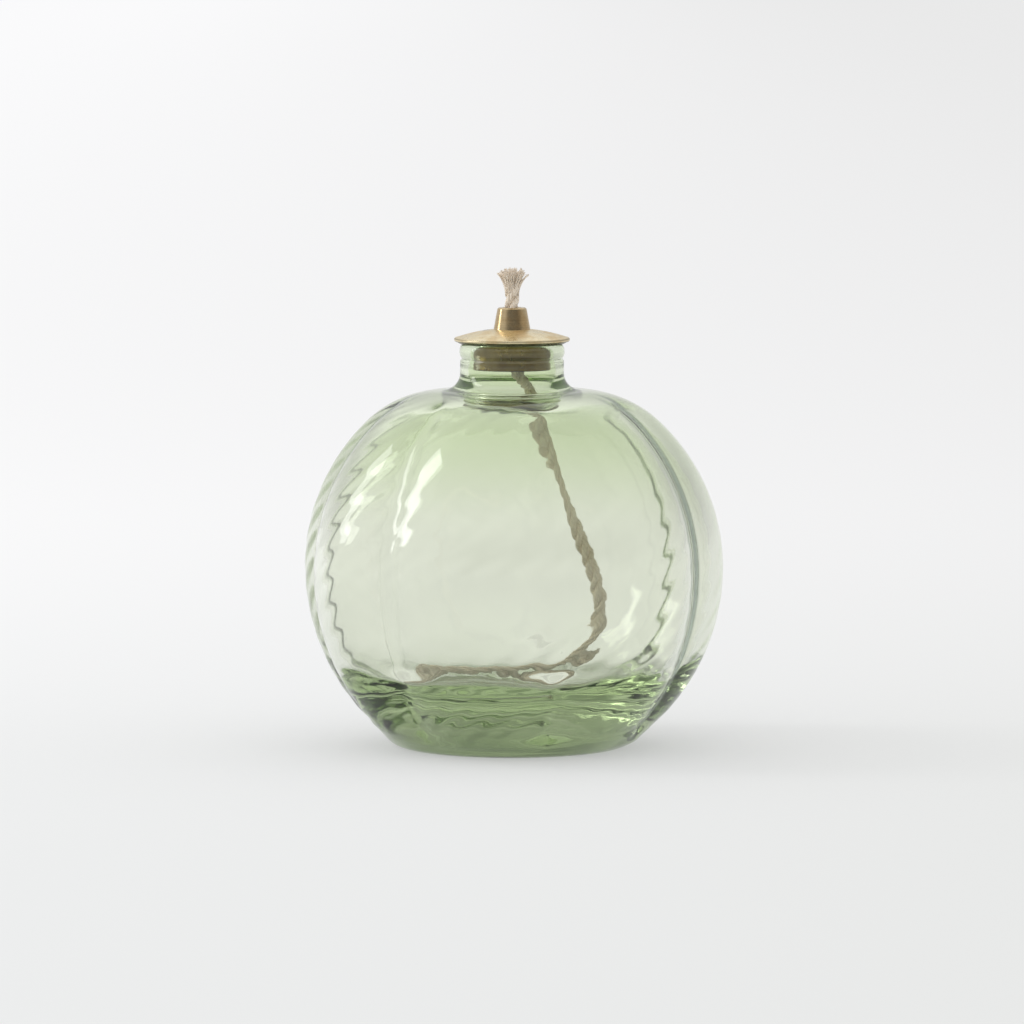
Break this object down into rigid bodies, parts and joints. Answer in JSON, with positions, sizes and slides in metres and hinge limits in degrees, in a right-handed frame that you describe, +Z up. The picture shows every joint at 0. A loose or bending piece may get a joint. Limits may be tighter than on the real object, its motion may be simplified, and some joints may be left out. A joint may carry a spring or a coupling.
{
  "type": "oil lamp",
  "caption": "Melon-lobed glass globe on a heavy base with a drop-in brass burner and a cotton wick.",
  "frame": {"origin": "centre of the round foot, on the surface that the lamp stands on", "axes": "+Z up along the neck's axis, -Y the front, +X to the right seen from the front"},
  "size_m": [0.1001, 0.0993, 0.1145],
  "materials": {
    "glass": "fire-polished, pale green, mould-blown",
    "brass_plate": "turned, fine satin",
    "brass_cup": "drawn, bright",
    "brass_nozzle": "turned, polished",
    "brass_nut": "milled",
    "wick": "twisted cotton, undyed"
  },
  "bodies": {
    "vessel": {"glass_vessel": "glass"},
    "burner": {"burner_plate": "brass_plate", "plug_collar": "brass_cup", "wick_nozzle": "brass_nozzle", "lock_nut": "brass_nut"},
    "wick": {"wick_core": "wick", "wick_tip": "wick", "wick_tail": "wick"}
  },
  "joints": [
    {"name": "burner_lift", "type": "slide", "parent": "vessel", "child": "burner", "axis": [0, 0, 1], "range_m": [0, 0.025], "deforming": ["wick_tail"]},
    {"name": "wick_feed", "type": "slide", "parent": "burner", "child": "wick", "axis": [0, 0, 1], "range_m": [-0.003, 0.006], "deforming": ["wick_tail"]}
  ]
}
